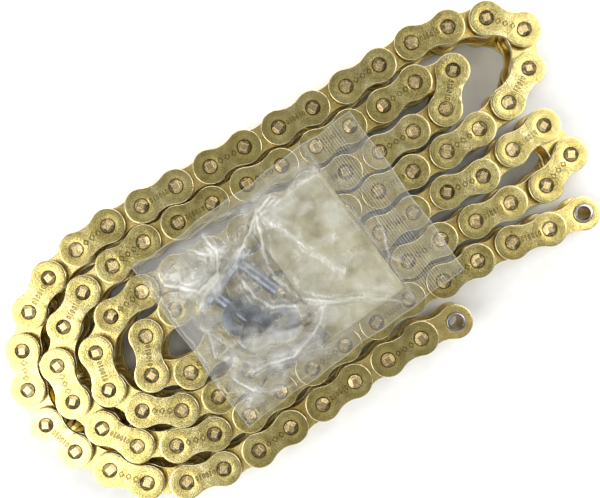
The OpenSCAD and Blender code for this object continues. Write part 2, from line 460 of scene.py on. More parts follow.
def measurePlate(node, k):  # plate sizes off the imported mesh, in millimetres
    toLink = atLink(k).inverted()
    pts = [(toLink @ v.co) / mm for v in frame["nodes"][node].data.vertices]
    half = halfPitch / mm
    endR = max(abs(p.x) for p in pts) - half
    nearMiddle = 1.5
    waist = min(abs(p.y) for p in pts if abs(p.x) < nearMiddle)
    hole = min(math.hypot(p.x - half, p.y) for p in pts)
    waistR = (half ** 2 + waist ** 2 - endR ** 2) / (2 * (endR - waist))
    return {"half": half, "endR": endR, "waistR": waistR, "up": waist + waistR, "hole": hole}


def plateOutline(size, inset, z):
    s = plateShape
    half, up = size["half"], size["up"]
    endTurn = math.atan2(up, -half)
    waistTurn = math.atan2(-up, half)
    points = []
    for side in (1, -1):
        r = size["endR"] - inset
        for i in range(s["endSteps"]):
            a = -endTurn + 2 * endTurn * i / (s["endSteps"] - 1)
            points.append((side * (half + r * math.cos(a)), side * r * math.sin(a), z))
        r = size["waistR"] + inset
        for i in range(1, s["waistSteps"]):
            a = waistTurn + (-math.pi - 2 * waistTurn) * i / s["waistSteps"]
            points.append((side * r * math.cos(a), side * (up + r * math.sin(a)), z))
    return points


def insidePlate(size, x, y, inset):
    half, endR, waistR = size["half"], size["endR"], size["waistR"]
    x, y = abs(x), abs(y)
    if x > half * waistR / (endR + waistR):
        return math.hypot(x - half, y) < endR - inset
    return math.hypot(x, y - size["up"]) > waistR + inset


def strokeLoops(centre, wide, tall, line, kind):
    # A generic mark: a "bar" is an upright stroke, a "ring" a small oval, a "lozenge" a square on its corner.
    # Gives closed loops as (points, share of the groove's depth)
    cx, cy = centre
    slope = plateShape["markWall"]
    loops = []
    if kind == "bar":
        for grow, deep in ((slope, 0), (0, 1)):
            w, t = line / 2 + grow, tall / 2 + grow
            loops.append(([(cx - w, cy - t), (cx + w, cy - t), (cx + w, cy + t), (cx - w, cy + t)], deep))
        return loops
    count = 4 if kind == "lozenge" else 10
    for grow, deep in ((slope, 0), (0, 1), (-line, 1), (-line - slope, 0)):
        w, t = wide / 2 + grow, tall / 2 + grow
        turn = [fullTurn * (i + 0.5 * (kind == "ring")) / count for i in range(count)]
        loops.append(([(cx + w * math.cos(a), cy + t * math.sin(a)) for a in turn], deep))
    return loops


markRows = {
    "three": ("lozenge", "lozenge", "lozenge"),
    "six": ("ring", "bar", "ring", "ring", "bar", "ring"),
    "plain": (),
}


def plateMarks(pattern):
    s = plateShape
    row = markRows[pattern]
    step, wide, grow = s["signStep"], s["signWide"], 1.0
    if "lozenge" in row:
        step, wide, grow = s["lozengeStep"], s["lozengeWide"], s["lozengeGrow"]
    return [
        loop for i, kind in enumerate(row)
        for loop in strokeLoops(
            ((i - (len(row) - 1) / 2) * step, 0), wide, s["markTall"] * grow, s["markLine"] * grow, kind,
        )
    ]


def makePlate(size, low, high, pattern):  # low and high in mm; the marked face is the upper one
    s = plateShape
    shape = Shape()
    e = s["edgeRound"]
    lowE = e * s["lowRound"]
    bends = [math.pi / 2 * j / s["edgeSteps"] for j in range(s["edgeSteps"] + 1)]
    rings = [(e * (1 - math.sin(a)), high - e * (1 - math.cos(a))) for a in bends]
    rings += [(lowE * (1 - math.sin(a)), low + lowE * (1 - math.cos(a))) for a in reversed(bends)]
    # The rounded edge is marked fully rubbed, which paints it paler: partly wear, partly a painted highlight
    loops = [
        shape.addRing(plateOutline(size, inset, z), 1.0 if 0 < j < s["edgeSteps"] else 0.0)
        for j, (inset, z) in enumerate(rings)
    ]
    for a, b in zip(loops, loops[1:]):
        shape.bridge(b, a)
    holeTop, holeLow = [], []
    turns = [fullTurn * i / s["holeSteps"] for i in range(s["holeSteps"])]
    bore, mouth = size["hole"] + s["holePlay"], size["hole"] + s["holeChamfer"]
    for side in (1, -1):
        ring = [
            shape.addRing([(side * size["half"] + r * math.cos(a), r * math.sin(a), z) for a in turns])
            for r, z in (
                (mouth, high - s["dishDepth"]), (bore, high - s["dishDepth"] - s["holeChamfer"]),
                (bore, low + s["holeChamfer"]), (mouth, low),
            )
        ]
        for a, b in zip(ring, ring[1:]):
            shape.bridge(a, b)
        holeTop.append(ring[0])
        holeLow.append(ring[-1])
    marks = plateMarks(pattern)
    for top, outer, holes in ((True, loops[0], holeTop), (False, loops[-1], holeLow)):
        pts = [Vector(shape.verts[i][:2]) for i in outer]
        keep = list(outer)
        edges = [(i, (i + 1) % len(outer)) for i in range(len(outer))]
        heights, etched = {}, set()
        for hole in holes:
            first = len(pts)
            pts += [Vector(shape.verts[i][:2]) for i in hole]
            keep += hole
            edges += [(first + i, first + (i + 1) % len(hole)) for i in range(len(hole))]
        if top:
            for points, deep in marks:
                first = len(pts)
                pts += [Vector(p) for p in points]
                edges += [(first + i, first + (i + 1) % len(points)) for i in range(len(points))]
                for i in range(len(points)):
                    heights[first + i] = high - deep * s["markDepth"]
                    if deep:
                        etched.add(first + i)
            dish = [
                (side * size["half"] + r * math.cos(a), r * math.sin(a))
                for side in (1, -1) for r in s["dishRings"] if r >= size["hole"] + s["dishClear"]
                for a in (fullTurn * i / s["dishSteps"] + r for i in range(s["dishSteps"]))
            ]
            dish = [p for p in dish if insidePlate(size, *p, e + s["rimClear"])]
            if marks:
                markX, markY = s["markArea"]
                dish = [p for p in dish if not (abs(p[1]) < markY and abs(p[0]) < markX)]
            first = len(pts)
            pts += [Vector(p) for p in dish]
            for i, p in enumerate(dish):
                reach = math.hypot(abs(p[0]) - size["half"], p[1])
                sink = max(0.0, 1 - (reach - mouth) / (s["dishTo"] - mouth))
                heights[first + i] = high - s["dishDepth"] * sink
        done = geometry.delaunay_2d_cdt(pts, edges, [], 0, 1e-5)
        newVerts, newFaces, origin = done[0], done[2], done[3]
        index = []
        for v, source in zip(newVerts, origin):
            if source and source[0] < len(keep):
                index.append(keep[source[0]])
            else:
                shape.verts.append((v.x, v.y, heights.get(source[0], high) if source else high))
                index.append(len(shape.verts) - 1)
                if source and source[0] in etched:
                    shape.wear[index[-1]] = -1.0
        for f in newFaces:
            cx = sum(newVerts[i].x for i in f) / len(f)
            cy = sum(newVerts[i].y for i in f) / len(f)
            if not insidePlate(size, cx, cy, lowE - s["holePlay"]):
                continue
            if math.hypot(abs(cx) - size["half"], cy) < mouth - s["holePlay"]:
                continue
            shape.faces.append(tuple(index[i] for i in (f if top else reversed(f))))
    return shape


flip = Matrix.Rotation(math.pi, 4, "X")
outerSize = measurePlate("link_1_plates", 1)
innerSize = measurePlate("link_0_plates", 0)
outerHigh, outerLow, innerHigh, innerLow = (
    spanZ(f"coil_{side}_plates_{level}") for side in ("outer", "inner") for level in ("upper", "lower")
)
print("plate sizes", outerSize, innerSize)

outerUpper = {p: makePlate(outerSize, *outerHigh, p) for p in ("three", "six")}
outerLower = {p: makePlate(outerSize, -outerLow[1], -outerLow[0], p) for p in ("three", "six")}
innerUpper = makePlate(innerSize, *innerHigh, "plain")
innerLower = makePlate(innerSize, -innerLow[1], -innerLow[0], "plain")
print("plate shapes:", len(outerUpper["six"].faces), "faces each")

dice = random.Random(520)
chances = [dice.random() for k in range(linkCount + 1)]
tips = [1 if dice.random() < 0.5 else -1 for k in range(linkCount + 1)]  # which way round each plate went on


def plateCopies(k, upper):
    outer = k % 2 == 1
    pattern = "three" if k % 4 == 1 else "six"
    turn = Matrix.Rotation(0 if tips[k] > 0 else math.pi, 4, "Z")
    if upper:
        return [(outerUpper[pattern] if outer else innerUpper, atLink(k) @ turn, chances[k])]
    return [(outerLower[pattern] if outer else innerLower, atLink(k) @ turn @ flip, 1 - chances[k])]


platePieces = {
    "coil_outer_plates_upper": (coilOuter, [True]),
    "coil_outer_plates_lower": (coilOuter, [False]),
    "coil_inner_plates_upper": (coilInner, [True]),
    "coil_inner_plates_lower": (coilInner, [False]),
}
for k in movingLinks:
    platePieces[f"link_{k}_plates"] = ([k], [True, False])
for node, (links, uppers) in platePieces.items():
    outer = links[0] % 2 == 1
    copies = [c for k in links for up in uppers for c in plateCopies(k, up)]
    piece = joinCopies(node + "_piece", copies, outerZinc if outer else innerZinc)
    installPiece(piece, node)
print("plates placed")


# A pin, its ends staked by a square punch: a flat square boss with four slanted flats falling to the rim
pinShape = {  # millimetres
    "squareHalf": (1.2, 1.5), "fall": (0.7, 0.95), "tilt": 0.05, "shift": 0.12,
    "browWide": 0.1, "browDrop": 0.05, "play": 0.04, "rimSteps": 40, "kinds": 14, "kindStep": 5,
}
pinLow, pinHigh = spanZ("coil_pins")
pinRadius = outerSize["hole"]


def makePin(rng):
    shape = Shape()
    p = pinShape
    steps = p["rimSteps"]
    quarter = steps // 4
    rims = []
    for side in (1, -1):
        half = rng.uniform(*p["squareHalf"])
        fall = rng.uniform(*p["fall"]) / (pinRadius - half)
        turn = rng.uniform(0, math.pi / 2)
        dx, dy = rng.uniform(-1, 1) * p["shift"], rng.uniform(-1, 1) * p["shift"]
        tipX, tipY = rng.uniform(-1, 1) * p["tilt"], rng.uniform(-1, 1) * p["tilt"]
        end = pinHigh if side > 0 else -pinLow

        def place(x, y, drop):
            px = x * math.cos(turn) - y * math.sin(turn)
            py = x * math.sin(turn) + y * math.cos(turn)
            slant = px * tipX + py * tipY
            return (px, side * py, side * (end - p["play"] - drop + 0.5 * min(0.0, slant) - 0.1 * abs(slant)))

        corners = ((1, -1), (1, 1), (-1, 1), (-1, -1))
        top = half - p["browWide"]
        flat = shape.addRing([place(dx + u * top, dy + v * top, 0) for u, v in corners], 1.0)
        browPlaces = [place(dx + u * half, dy + v * half, p["browDrop"]) for u, v in corners]
        brow = shape.addRing(browPlaces, 0.7)
        foot = shape.addRing(browPlaces)
        shape.faces.append(tuple(flat))
        shape.bridge(brow, flat)
        rim = []
        for i in range(steps):
            a = fullTurn * i / steps + math.pi / 4
            x, y = pinRadius * math.cos(a), pinRadius * math.sin(a)
            rim.append(place(x, y, p["browDrop"] + fall * (max(abs(x), abs(y)) - half)))
        rim = shape.addRing(rim)
        # The rim starts on a corner of the square: each slanted flat joins one side to a quarter of the rim
        for q in range(4):
            arc = [rim[(q * quarter + i) % steps] for i in range(quarter + 1)]
            shape.faces.append((foot[(q + 1) % 4], *arc, foot[(q + 2) % 4]))
        rims.append(sorted(rim, key=lambda i: math.atan2(shape.verts[i][1], shape.verts[i][0])))
    shape.bridge(rims[1], rims[0])
    return shape


rng = random.Random(8)
pinKinds = [makePin(rng) for i in range(pinShape["kinds"])]


def pinCopies(links):
    copies = []
    for k in links:
        for pin in (k, k + 1):
            kind = pinKinds[pin * pinShape["kindStep"] % pinShape["kinds"]]
            copies.append((kind, atPin(pin, dice.uniform(0, fullTurn)), dice.random()))
    return copies


pinPieces = {"coil_pins": coilOuter}
for k in movingLinks:
    if k % 2:
        pinPieces[f"link_{k}_pins"] = [k]
for node, links in pinPieces.items():
    installPiece(joinCopies(node + "_piece", pinCopies(links), stakedSteel, sharpAngle=14), node)
print("pins placed")


def lathe(profile, count, boreWear=0.0):  # turns a closed loop of (radius, height) round the pin's axis
    shape = Shape()
    rings = []
    inner = min(r for r, z in profile)
    turns = [fullTurn * i / count for i in range(count)]
    for r, z in profile:
        ring = [(r * math.cos(a), r * math.sin(a), z) for a in turns]
        rings.append(shape.addRing(ring, boreWear if r == inner else 0.0))
    for a, b in zip(rings, rings[1:] + rings[:1]):
        shape.bridge(a, b)
    return shape


def tubeProfile(inner, outer, low, high, innerEase, outerEase):
    cut = outerEase * 0.3  # a rounded corner in two steps
    return [
        (inner + innerEase, low), (inner, low + innerEase),
        (inner, high - innerEase), (inner + innerEase, high),
        (outer - outerEase, high), (outer - cut, high - cut), (outer, high - outerEase),
        (outer, low + outerEase), (outer - cut, low + cut), (outer - outerEase, low),
    ]


def measureRound(node, pin):  # inner and outer radius and the two ends of a round part, in millimetres
    pts = [v.co / mm for v in frame["nodes"][node].data.vertices]
    centre = pinPlaces[pin] / mm
    reach = [math.hypot(p.x - centre.x, p.y - centre.y) for p in pts]
    near = [r for r in reach if r < halfPitch / mm]
    return min(near), max(near), min(p.z for p in pts), max(p.z for p in pts)


bushSize = measureRound("link_0_bushes", 0)
rollerSize = measureRound("link_0_roller_a", 0)
ringSize = measureRound("link_0_rings", 1)
roundShape = {
    "sides": 48, "bushEase": (0.2, 0.25), "boreStain": 1.0, "rollerEase": (0.15, 0.35), "ringSides": 36,
    "ringSection": 12,
}
bushProfile = tubeProfile(*bushSize, *roundShape["bushEase"])
bushShape = lathe(bushProfile, roundShape["sides"], roundShape["boreStain"])
rollerShape = lathe(tubeProfile(*rollerSize, *roundShape["rollerEase"]), roundShape["sides"])
ringThick = (ringSize[1] - ringSize[0]) / 2
ringMiddle = (ringSize[1] + ringSize[0]) / 2
ringTurns = [fullTurn * i / roundShape["ringSection"] for i in range(roundShape["ringSection"])]
ringShape = Shape()
for z in (ringSize[2] + ringThick, ringSize[3] - ringThick):
    loop = [(ringMiddle + ringThick * math.cos(a), z + ringThick * math.sin(a)) for a in ringTurns]
    ringShape.merge(lathe(loop, roundShape["ringSides"]))

bushKind = (bushShape, groundSteel, "bush")
rollerKind = (rollerShape, rollerSteel, "roller")
ringKind = (ringShape, nitrile, "ring")
anyTurn = 6.28  # radians
roundPieces = {
    "coil_bushes": (coilInner, (0, 1), *bushKind),
    "coil_rollers": (coilInner, (0, 1), *rollerKind),
    "coil_rings": (coilInner, (0, 1), *ringKind),
}
for k in movingLinks:
    if k % 2 == 0:
        roundPieces[f"link_{k}_bushes"] = ([k], (0, 1), *bushKind)
        roundPieces[f"link_{k}_rings"] = ([k], (0, 1), *ringKind)
        roundPieces[f"link_{k}_roller_a"] = ([k], (0,), *rollerKind)
        roundPieces[f"link_{k}_roller_b"] = ([k], (1,), *rollerKind)
for node, (links, ends, shape, material, slotName) in roundPieces.items():
    low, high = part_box(node)
    held = [k + end for k in links for end in ends]
    held = [k for k in held if low.x < pinPlaces[k].x < high.x and low.y < pinPlaces[k].y < high.y]
    copies = [(shape, atPin(k, dice.uniform(0, anyTurn)), dice.random()) for k in held]
    installPiece(joinCopies(node + "_piece", copies, material, sharpAngle=40), node)
print("bushes, rollers and rings placed")

# In the bag, the plates, pins and ring keep their CAD shapes
kitChance = 0.4
for node in ("kit_link_plate", "kit_link_pins", "kit_side_plate", "kit_ring"):
    part = frame["nodes"][node]
    middle = boxMiddle(node)
    count = len(part.data.vertices)
    addAttribute(part.data, "spot", [c / mm for v in part.data.vertices for c in (v.co - middle)])
    addAttribute(part.data, "chance", [kitChance] * count)
    addAttribute(part.data, "wear", [0.0] * count)
    for place in part.material_slots:
        place.material = nitrile if node == "kit_ring" else oiledSteel


# The bag: two layers of film laid over what they hold
bagShape = {  # millimetres in the bag's own frame, from its middle
    "turn": 5,  # degrees from the rows
    "cell": 0.6,  # mesh cell
    "gap": 0.3,  # play between the film and what it covers
    "spanning": 160,  # passes of pulling tight, more bridges wider hollows
    "trackFrom": 35.5,  # the press-to-close track runs across the bag between these
    "trackTo": 46.5,
    "crossSeal": 30.6,
    "sealWide": 0.9,
    "edgeSeal": 2.6,  # how far in from the edge the two layers part
    "airy": (1, 14),  # how far in from the edge the crumpling begins and is full
    "knot": (-17, 17),  # end of the standing plate, where folds fan out from
    "fan": 2.4,
    "fanCell": 3.2,
    "fanSpread": 14,
    "fanReach": 24,
    "stray": ((1.3, 6), (0.7, 2.2)),  # how far folds wander from their lines, in cells of this size
    "crumple": ((2.6, 17, 1.4, 20), (1.5, 8, 1.6, -35), (0.5, 3.4, 1.6, 60)),  # height, cell, stretch, turn
    "edgeCrumple": 0.4,
    "headroom": 1.5,  # bending over towards the ceiling starts this far under it
    "sealedThick": 0.12,
    "leastThick": 0.08,
    "bottomLift": 0.15,
    "foldLine": 0.42,  # width of the white line along a fold, and of the glow round it
    "foldGlow": 4.5,
    "creasePeak": 98,  # bends sharper than this percentage of them are fully white
    "loose": ((0.55, 12, 1.5, 20), (0.45, 5.5, 1.7, -30)),
    "looseSpan": (0.42, 0.72),
    "cling": 1.5,  # film this near to what it covers is clear
    # the next two: haze with painted sheen, on loose facets and round the folds
    "milk": 0.4,
    "hazeAndSheenGlow": 0.36,
    "milkBase": 0.04,
}

bagLow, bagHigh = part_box("kit_bag")
bagMiddle = Vector(((bagLow.x + bagHigh.x) / 2, (bagLow.y + bagHigh.y) / 2, 0))
fromBag = Matrix.Translation(bagMiddle) @ Matrix.Rotation(math.radians(bagShape["turn"]), 4, "Z")
toBag = fromBag.inverted()
bagRng = np.random.default_rng(31)


def surfaceSpots(node, step):  # points all over a part, at most step apart, in the bag's own millimetres
    mesh = frame["nodes"][node].data
    mesh.calc_loop_triangles()
    corners = [(toBag @ v.co) / mm for v in mesh.vertices]
    spots = []
    for triangle in mesh.loop_triangles:
        a, b, c = (corners[i] for i in triangle.vertices)
        n = max(1, math.ceil(max((b - a).length, (c - a).length, (c - b).length) / step))
        spots += [a + (b - a) * (i / n) + (c - a) * (j / n) for i in range(n + 1) for j in range(n + 1 - i)]
    return np.array(spots)


bagPts = np.array([(toBag @ v.co) / mm for v in frame["nodes"]["kit_bag"].data.vertices])
halfLong, halfWide = np.abs(bagPts[:, 0]).max(), np.abs(bagPts[:, 1]).max()
bagFloor = bagPts[:, 2].min()
bagTop = bagPts[:, 2].max()
kitNodes = ("kit_link_plate", "kit_link_pins", "kit_side_plate", "kit_ring", "kit_sachet")
contentSpots = {node: surfaceSpots(node, 0.5) for node in kitNodes}
print("bag", round(halfLong * 2, 1), "x", round(halfWide * 2, 1), "mm, height", round(bagTop - bagFloor, 2))


tiny = 1e-6


def facetField(u, v, cell, stretch=1.0, turn=0.0, flat=False):  # facets with sharp folds, heights 0 to 1
    a = math.radians(turn)
    p = (u * math.cos(a) + v * math.sin(a)) / (cell * stretch)
    q = (-u * math.sin(a) + v * math.cos(a)) / cell
    across, along = (np.arange(math.floor(w.min()) - 1, w.max() + 2) for w in (p, q))
    i, j = np.meshgrid(across, along)
    seeds = np.stack([i.ravel(), j.ravel()], 1) + bagRng.uniform(-0.45, 0.45, (i.size, 2))
    heights = bagRng.uniform(0, 1, len(seeds))
    done = geometry.delaunay_2d_cdt([Vector(s) for s in seeds], [], [], 0, tiny)
    field = np.zeros_like(u)
    for triangle in done[2]:
        (ax, ay), (bx, by), (cx, cy) = (done[0][t] for t in triangle)
        box = (p >= min(ax, bx, cx)) & (p <= max(ax, bx, cx))
        box &= (q >= min(ay, by, cy)) & (q <= max(ay, by, cy))
        if not box.any():
            continue
        px, py = p[box], q[box]
        area = (bx - ax) * (cy - ay) - (cx - ax) * (by - ay)
        wb = ((px - ax) * (cy - ay) - (cx - ax) * (py - ay)) / area
        wc = ((bx - ax) * (py - ay) - (px - ax) * (by - ay)) / area
        ha, hb, hc = (heights[done[3][t][0]] for t in triangle)
        inside = (wb >= -tiny) & (wc >= -tiny) & (wb + wc <= 1 + tiny)
        level = np.full_like(px, (ha + hb + hc) / 3) if flat else ha + wb * (hb - ha) + wc * (hc - ha)
        values = field[box]
        values[inside] = level[inside]
        field[box] = values
    return field


def facetSum(u, v, layers, flat=False):  # layers are (height, cell, stretch, turn)
    return sum(high * facetField(u, v, cell, stretch, turn, flat) for high, cell, stretch, turn in layers)


def lineReach(u, v, line):  # distance to a bent line, in the bag's own plane
    best = np.full_like(u, 1e9)
    for (ax, ay), (bx, by) in zip(line, line[1:]):
        dx, dy = bx - ax, by - ay
        t = np.clip(((u - ax) * dx + (v - ay) * dy) / (dx * dx + dy * dy), 0, 1)
        best = np.minimum(best, np.hypot(u - ax - t * dx, v - ay - t * dy))
    return best


def smoothStep(x, low, high):
    t = np.clip((x - low) / (high - low), 0, 1)
    return t * t * (3 - 2 * t)


def blur(field, times):
    for i in range(times):
        padded = np.pad(field, 1, mode="edge")
        field = (padded[:-2, 1:-1] + padded[2:, 1:-1] + padded[1:-1, :-2] + padded[1:-1, 2:] + 4 * field) / 8
    return field


nu = int(2 * halfLong / bagShape["cell"]) + 1
nv = int(2 * halfWide / bagShape["cell"]) + 1
u, v = np.meshgrid(np.linspace(-halfLong, halfLong, nu), np.linspace(-halfWide, halfWide, nv))
toEdge = np.minimum(halfLong - np.abs(u), halfWide - np.abs(v))
header = smoothStep(u, bagShape["crossSeal"] - 2, bagShape["crossSeal"] + 1)  # flat past the cross seal


def heightUnder(nodes):  # highest point of these parts in each cell, in mm over the bag's floor, 0 for none
    field = np.zeros_like(u)
    for spots in (contentSpots[node] for node in nodes):
        column, row = (
            np.clip(np.rint((spots[:, i] + half) / (2 * half) * (n - 1)).astype(int), 0, n - 1)
            for i, half, n in ((0, halfLong, nu), (1, halfWide, nv))
        )
        np.maximum.at(field, (row, column), spots[:, 2] - bagFloor)
    padded = np.pad(field, 1)
    for i in range(3):
        for j in range(3):
            field = np.maximum(field, padded[i:i + nv, j:j + nu])
    return field


# The film is pulled tight over what is in the bag, then sags and crumples by its slack
content = heightUnder(kitNodes)
over = np.where(content > 0, content + bagShape["gap"], 0)
tent = over.copy()
for i in range(bagShape["spanning"]):
    tent = np.maximum(blur(tent, 1), over)
    tent[[0, -1], :] = 0
    tent[:, [0, -1]] = 0

# Folds, whole millimetres from the middle of the bag: (points, height, width, whitening with painted glint)
folds = [
    ([(0, 29), (-7, 13), (-9, 3), (-6, -9), (1, -17), (13, -23)], 1.8, 2.6, 0.9),
    ([(-17, 17), (-20, 12), (-20, 2), (-16, -6), (1, -17)], 1.5, 2.2, 0.7),
    ([(-17, 17), (0, 28), (8, 30)], 1.6, 2.4, 0.8),
    ([(1, 26), (6, 10), (14, -12)], 0.7, 1.4, 0.5),
    ([(-23, 34), (-22, 24), (-26, 17), (-37, 16), (-47, 26)], 1.6, 2.2, 0.8),
    ([(-52, 33), (-52, 10), (-53, -18)], 0.8, 1.6, 0.6),
    ([(-17, 17), (-26, 26), (-34, 36)], 1.2, 2.2, 0.5),
    ([(-5, 32), (-14, 36), (-30, 37)], 0.9, 1.8, 0.5),
    ([(-44, 0), (-49, -9), (-40, -9), (-44, 0)], 1.0, 1.8, 0.6),
    ([(-47, -19), (-41, -31), (-31, -36), (-18, -37)], 1.1, 2.0, 0.6),
    ([(1, -17), (-5, -22), (-22, -27), (-38, -22)], 1.1, 2.0, 0.6),
    ([(13, -23), (24, -33), (28, -37)], 1.2, 2.0, 0.7),
    ([(-38, 11), (-46, 4), (-44, 0)], 0.9, 1.8, 0.5),
    ([(37, 0), (36, -9), (32, -17), (35, -22)], 0.6, 1.6, 0.9),
]
strayU, strayV = (
    w + sum(far * (facetField(u, v, size, 1, turn) - 0.5) for (far, size), turn in zip(bagShape["stray"], turns))
    for w, turns in ((u, (12, 40)), (v, (50, 75)))
)
patchy = facetField(u, v, 4, 1.5, 30)
ridges, whitenedAndGlint, glow = (np.zeros_like(u) for i in range(3))
for line, high, wide, whiteAndGlint in folds:
    reach = lineReach(strayU, strayV, line)
    ridges = np.maximum(ridges, high * np.clip(1 - reach / wide, 0, 1) ** 1.2)
    # A thin white line along each fold: partly stress whitening, partly a painted glint
    stroke = np.exp(-(reach / bagShape["foldLine"]) ** 2)
    whitenedAndGlint = np.maximum(whitenedAndGlint, whiteAndGlint * stroke * (0.25 + 0.95 * patchy))
    # A whitish glow round each fold: partly haze, partly painted sheen
    glow = np.maximum(glow, whiteAndGlint * np.exp(-reach / bagShape["foldGlow"]) * (0.3 + 0.7 * patchy))

airy = smoothStep(toEdge, *bagShape["airy"]) * (1 - 0.9 * header)
knotU, knotV = bagShape["knot"]
fromKnot = np.hypot(u - knotU, v - knotV)
radial = np.arctan2(v - knotV, u - knotU) * bagShape["fanSpread"]
fan = facetField(radial, fromKnot, bagShape["fanCell"]) * np.exp(-fromKnot / bagShape["fanReach"])
lift = airy * (facetSum(u, v, bagShape["crumple"]) + bagShape["fan"] * fan + ridges)
lift += (1 - airy) * smoothStep(toEdge, 0, 4) * bagShape["edgeCrumple"] * facetField(u, v, 7, 2.2, 80)
top = tent + bagShape["gap"] + lift
ceiling = bagTop - bagFloor - 0.05
soft = bagShape["headroom"]
top = np.where(top > ceiling - soft, ceiling - soft * np.exp(-(top - ceiling + soft) / soft), top)
sealed = smoothStep(toEdge, 0.0, bagShape["edgeSeal"])
sealLine = np.exp(-((u - bagShape["crossSeal"]) / bagShape["sealWide"]) ** 2)
thin = bagShape["sealedThick"]
top = thin + (top - thin) * sealed * (1 - 0.75 * sealLine)
top = np.maximum(blur(top, 1), over)
bottom = bagShape["bottomLift"] * sealed * facetField(u, v, 6, 1.3, 10)
bottom = np.minimum(bottom, top - bagShape["leastThick"])

# How white the film has gone: stress whitening with painted glints along sharp bends and folds, haze with
# painted sheen on loose facets, and clear again where it lies on something
bend = np.abs(lift - blur(lift, 3))
crease = np.clip(bend / np.percentile(bend, bagShape["creasePeak"]), 0, 1) ** 1.6 * (0.2 + 0.8 * patchy) * airy
crease = np.clip(0.85 * crease + whitenedAndGlint + 0.5 * sealLine * (0.3 + 0.7 * patchy) * (toEdge > 1), 0, 1)
crease = np.maximum(crease, 0.8 * (1 - smoothStep(toEdge, 0.0, 0.7)))
# Milky patches on loose facets picked at random: partly haze, partly a painted sheen of the softboxes
loose = smoothStep(facetSum(u, v, bagShape["loose"], True), *bagShape["looseSpan"])
touching = np.where(content > 0, np.exp(-np.clip(top - content, 0, None) / bagShape["cling"]), 0)
milk = airy * (bagShape["milk"] * loose + bagShape["hazeAndSheenGlow"] * glow) * (1 - 0.4 * touching)
milk = blur(milk + bagShape["milkBase"] * airy, 1)
track = smoothStep(u, bagShape["trackFrom"], bagShape["trackFrom"] + 1)
track *= 1 - smoothStep(u, bagShape["trackTo"] - 1, bagShape["trackTo"])

# The bag's outline wavers a little, and only close to its edge
edgeWave = 0.35 * np.sin(u / 6.1 + 1) + 0.25 * np.sin(u / 2.7)
sideWave = 0.3 * np.sin(v / 5.3 + 2)
bagX = u - np.sign(u) * np.abs(u / halfLong) ** 8 * (0.6 + sideWave)
bagY = v - np.sign(v) * np.abs(v / halfWide) ** 8 * (0.7 + edgeWave)


def gridShell(name, x, y, upper, lower):  # a closed shell between two height grids, in the bag's millimetres
    rows, columns = upper.shape
    count = rows * columns
    places = [p for layer in (upper, lower) for p in zip(x.ravel(), y.ravel(), layer.ravel())]
    faces = []
    for j in range(rows - 1):
        for i in range(columns - 1):
            a = j * columns + i
            faces.append((a, a + 1, a + columns + 1, a + columns))
            faces.append((a + count, a + columns + count, a + columns + 1 + count, a + 1 + count))
    rim = list(range(columns)) + [j * columns + columns - 1 for j in range(1, rows)]
    rim += [(rows - 1) * columns + i for i in range(columns - 2, -1, -1)]
    rim += [j * columns for j in range(rows - 2, 0, -1)]
    for a, b in zip(rim, rim[1:] + rim[:1]):
        faces.append((a, a + count, b + count, b))
    mesh = bpy.data.meshes.new(name)
    mesh.from_pydata([fromBag @ (Vector(p) * mm) for p in places], [], faces)
    addAttribute(mesh, "spot", [c for p in places for c in p])
    mesh.shade_smooth()
    return addObject(name, mesh)


bagFilm = gridShell("bag_film_piece", bagX, bagY, top + bagFloor, bottom + bagFloor)
for name, upper, share in (("crease", crease, 0.25), ("milk", milk, 0.3), ("track", track, 1.0)):
    addAttribute(bagFilm.data, name, np.concatenate([upper.ravel(), share * upper.ravel()]))
print("bag film made,", len(bagFilm.data.polygons), "faces")

filmLook = {
    "film": "#cbcbc3", "clear": 0.09, "foldWhiteAndGlint": 0.5, "smooth": 0.1, "dull": 0.3,
    "hazeSize": 7.0, "hazeLow": 0.45, "hazeHigh": 1.5, "rippleSize": 2.5, "rippleDepth": 0.3,
    "trackStep": 1.15,  # the real ribs of the track are near 0.5 mm apart, drawn coarser so that they show
    "trackCover": 0.09, "trackRelief": 0.25,
}


